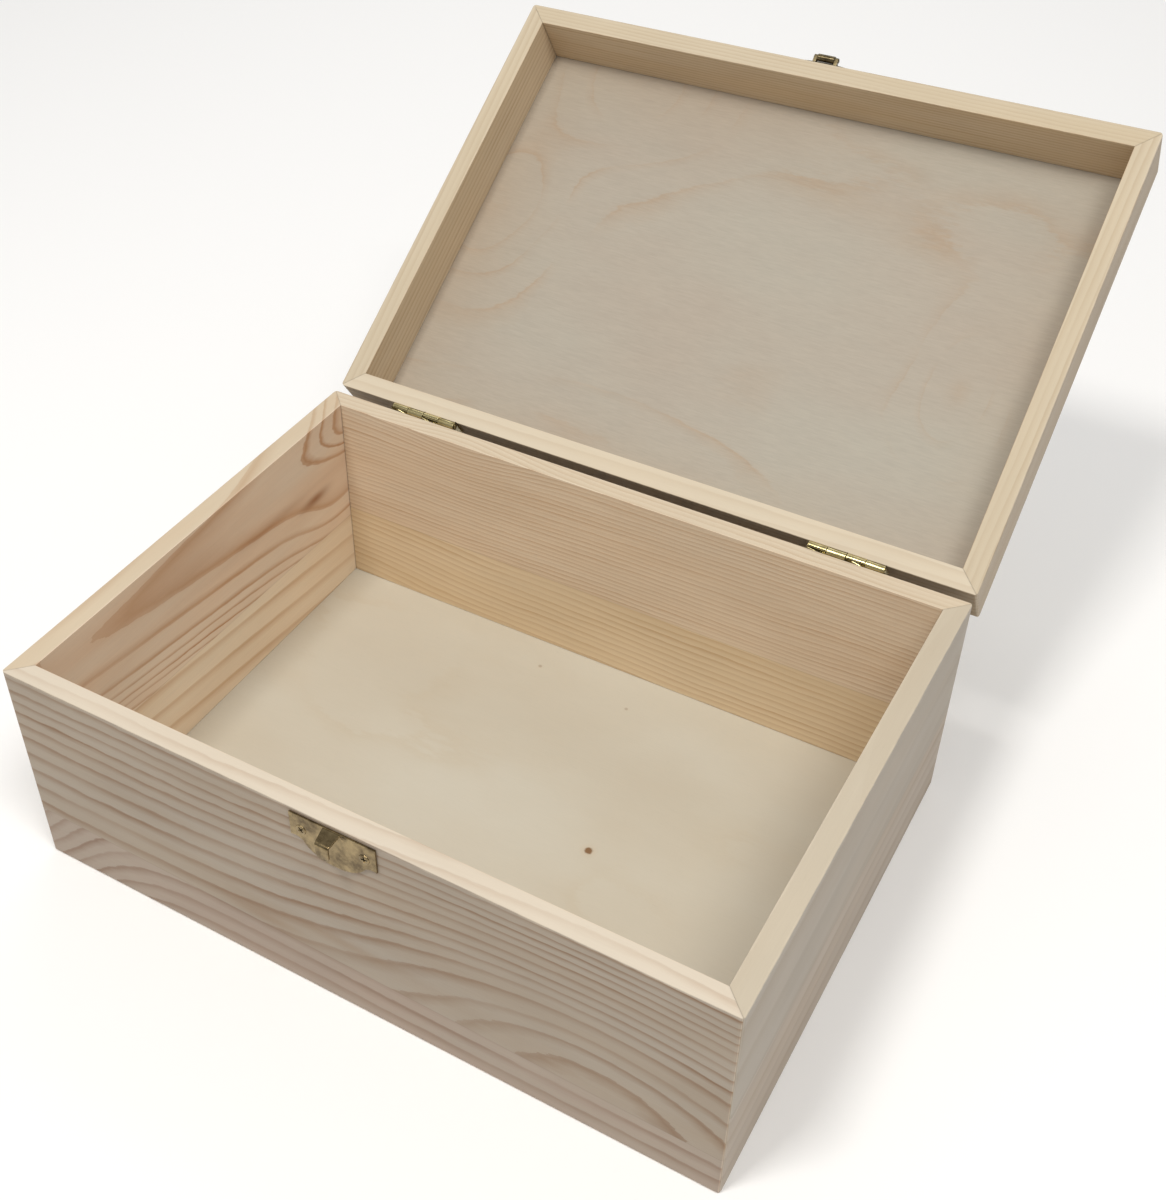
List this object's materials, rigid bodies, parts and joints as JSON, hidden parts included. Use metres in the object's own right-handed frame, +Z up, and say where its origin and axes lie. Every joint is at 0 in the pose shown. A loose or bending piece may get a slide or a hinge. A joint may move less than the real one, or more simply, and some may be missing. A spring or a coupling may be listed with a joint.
{
  "type": "toy box",
  "caption": "Rectangular pine box with mitred corners, a hinged tray lid, plywood floor and lid panel, brass butt hinges and a swinging loop catch.",
  "frame": {"origin": "middle of the box's underside", "axes": "+Z up, +Y towards the hinges at the back, +X to the right seen from the front; the lid stands open"},
  "size_m": [0.3, 0.4209, 0.2221],
  "materials": {
    "pine": "unfinished sanded pine",
    "floor_ply": "bare pale plywood",
    "lid_ply": "bare birch plywood",
    "brass": "polished",
    "dull_brass": "aged, satin"
  },
  "bodies": {
    "box": {"front_board": "pine", "back_board": "pine", "left_board": "pine", "right_board": "pine", "bottom_panel": "floor_ply", "catch_plate": "dull_brass", "catch_screw_left": "dull_brass", "catch_screw_right": "dull_brass", "hinge_left_body_leaf": "brass", "hinge_left_pin": "brass", "hinge_right_body_leaf": "brass", "hinge_right_pin": "brass", "hinge_left_body_screw_left": "brass", "hinge_left_body_screw_right": "brass", "hinge_right_body_screw_left": "brass", "hinge_right_body_screw_right": "brass"},
    "lid": {"lid_front_rail": "pine", "lid_back_rail": "pine", "lid_left_rail": "pine", "lid_right_rail": "pine", "lid_panel": "lid_ply", "hinge_left_lid_leaf": "brass", "hinge_right_lid_leaf": "brass", "hinge_left_lid_screw_left": "brass", "hinge_left_lid_screw_right": "brass", "hinge_right_lid_screw_left": "brass", "hinge_right_lid_screw_right": "brass", "hasp_plate": "dull_brass", "hasp_pin": "dull_brass", "hasp_screw_left": "dull_brass", "hasp_screw_right": "dull_brass"},
    "hasp": {"hasp_loop": "dull_brass"}
  },
  "joints": [
    {"name": "lid_hinge", "type": "hinge", "parent": "box", "child": "lid", "pos_m": [0, 0.10965, 0.10085], "axis": [1, 0, 0], "range_deg": [0, 146.7]},
    {"name": "hasp_swing", "type": "hinge", "parent": "lid", "child": "hasp", "pos_m": [0.0005, 0.29451, 0.22042], "axis": [1, 0, 0], "range_deg": [0, 170]}
  ]
}
